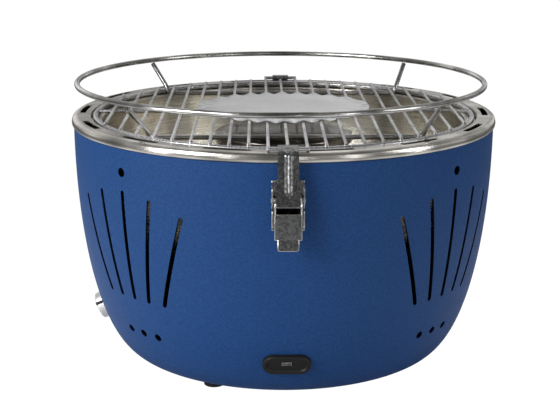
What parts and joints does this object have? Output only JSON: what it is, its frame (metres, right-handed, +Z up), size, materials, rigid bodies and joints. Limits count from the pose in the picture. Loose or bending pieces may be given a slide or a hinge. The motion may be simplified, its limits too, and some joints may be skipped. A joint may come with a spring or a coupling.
{
  "type": "tabletop grill",
  "caption": "Round portable charcoal grill: painted bowl with air vents, steel rim, latched wire grate with a raised guard ring, fan under the fire.",
  "frame": {"origin": "on the ground under the middle of the bowl", "axes": "+Z up, -Y the front with the power port and a latch, +X to the right of someone in front of it"},
  "size_m": [0.3538, 0.3812, 0.2401],
  "materials": {
    "blue_paint": "satin, fine textured powder coat",
    "polished_steel": "polished stainless steel",
    "brushed_steel": "circular brushed stainless steel",
    "wire_steel": "satin polished wire",
    "latch_steel": "bright nickel plated steel",
    "screw_steel": "plain",
    "motor_steel": "drawn can",
    "black_rubber": "matte",
    "black_plastic": "moulded, fine texture",
    "grey_plastic": "moulded",
    "knob_silver": "satin",
    "board_green": "solder mask",
    "cell_wrap": "printed sleeve, left plain",
    "lead_cover": "soft lead cover"
  },
  "bodies": {
    "base": {"outer_bowl": "blue_paint", "rim_ring": "polished_steel", "inner_bowl": "brushed_steel", "ignition_pan": "brushed_steel", "charcoal_basket": "brushed_steel", "charcoal_lid": "polished_steel", "grate": "wire_steel", "drip_plate": "brushed_steel", "guard_ring": "wire_steel", "guard_bracket_front": "wire_steel", "guard_bracket_rear": "wire_steel", "front_latch_base": "latch_steel", "front_latch_pivot_pin": "latch_steel", "front_latch_rivet_1": "latch_steel", "front_latch_rivet_2": "latch_steel", "rear_latch_base": "latch_steel", "rear_latch_pivot_pin": "latch_steel", "rear_latch_rivet_1": "latch_steel", "rear_latch_rivet_2": "latch_steel", "foot_1": "black_rubber", "foot_screw_1": "screw_steel", "foot_2": "black_rubber", "foot_screw_2": "screw_steel", "foot_3": "black_rubber", "foot_screw_3": "screw_steel", "fan_housing": "black_plastic", "fan_motor": "motor_steel", "fan_screw_1": "screw_steel", "fan_screw_2": "screw_steel", "fan_screw_3": "screw_steel", "air_duct": "brushed_steel", "heat_shield": "brushed_steel", "battery_box": "black_plastic", "battery_lid": "black_plastic", "battery_cell_1": "cell_wrap", "battery_cell_2": "cell_wrap", "battery_cell_3": "cell_wrap", "battery_cell_4": "cell_wrap", "circuit_board": "board_green", "port_bezel": "black_plastic", "usb_socket": "polished_steel", "speed_control": "grey_plastic", "usb_lead": "lead_cover", "battery_lead": "lead_cover", "control_lead": "lead_cover", "motor_lead": "lead_cover"},
    "fan": {"fan_impeller": "grey_plastic", "fan_shaft": "screw_steel"},
    "knob": {"speed_knob": "knob_silver", "control_shaft": "screw_steel"},
    "front_lever": {"front_latch_lever": "latch_steel", "front_latch_strap_pin": "latch_steel"},
    "front_strap": {"front_latch_strap": "latch_steel"},
    "rear_lever": {"rear_latch_lever": "latch_steel", "rear_latch_strap_pin": "latch_steel"},
    "rear_strap": {"rear_latch_strap": "latch_steel"}
  },
  "joints": [
    {"name": "fan_spin", "type": "hinge", "parent": "base", "child": "fan", "pos_m": [0, 0, 0.04], "axis": [0, 0, 1], "continuous": true},
    {"name": "speed_knob_turn", "type": "hinge", "parent": "base", "child": "knob", "pos_m": [-0.1529, 0, 0.042], "axis": [-0.9243, 0, -0.3816], "range_deg": [-270, 0]},
    {"name": "front_lever_swing", "type": "hinge", "parent": "base", "child": "front_lever", "pos_m": [0, -0.1816, 0.179], "axis": [-1, 0, 0], "range_deg": [0, 110]},
    {"name": "front_strap_swing", "type": "hinge", "parent": "front_lever", "child": "front_strap", "pos_m": [0, -0.18723, 0.17575], "axis": [-1, 0, 0], "range_deg": [-143, 0]},
    {"name": "rear_lever_swing", "type": "hinge", "parent": "base", "child": "rear_lever", "pos_m": [0, 0.1816, 0.179], "axis": [1, 0, 0], "range_deg": [0, 110]},
    {"name": "rear_strap_swing", "type": "hinge", "parent": "rear_lever", "child": "rear_strap", "pos_m": [0, 0.18723, 0.17575], "axis": [1, 0, 0], "range_deg": [-143, 0]}
  ],
  "couplings": [
    {"joint": "front_strap_swing", "follows": "front_lever_swing", "ratio": -1.3},
    {"joint": "rear_strap_swing", "follows": "rear_lever_swing", "ratio": -1.3}
  ]
}
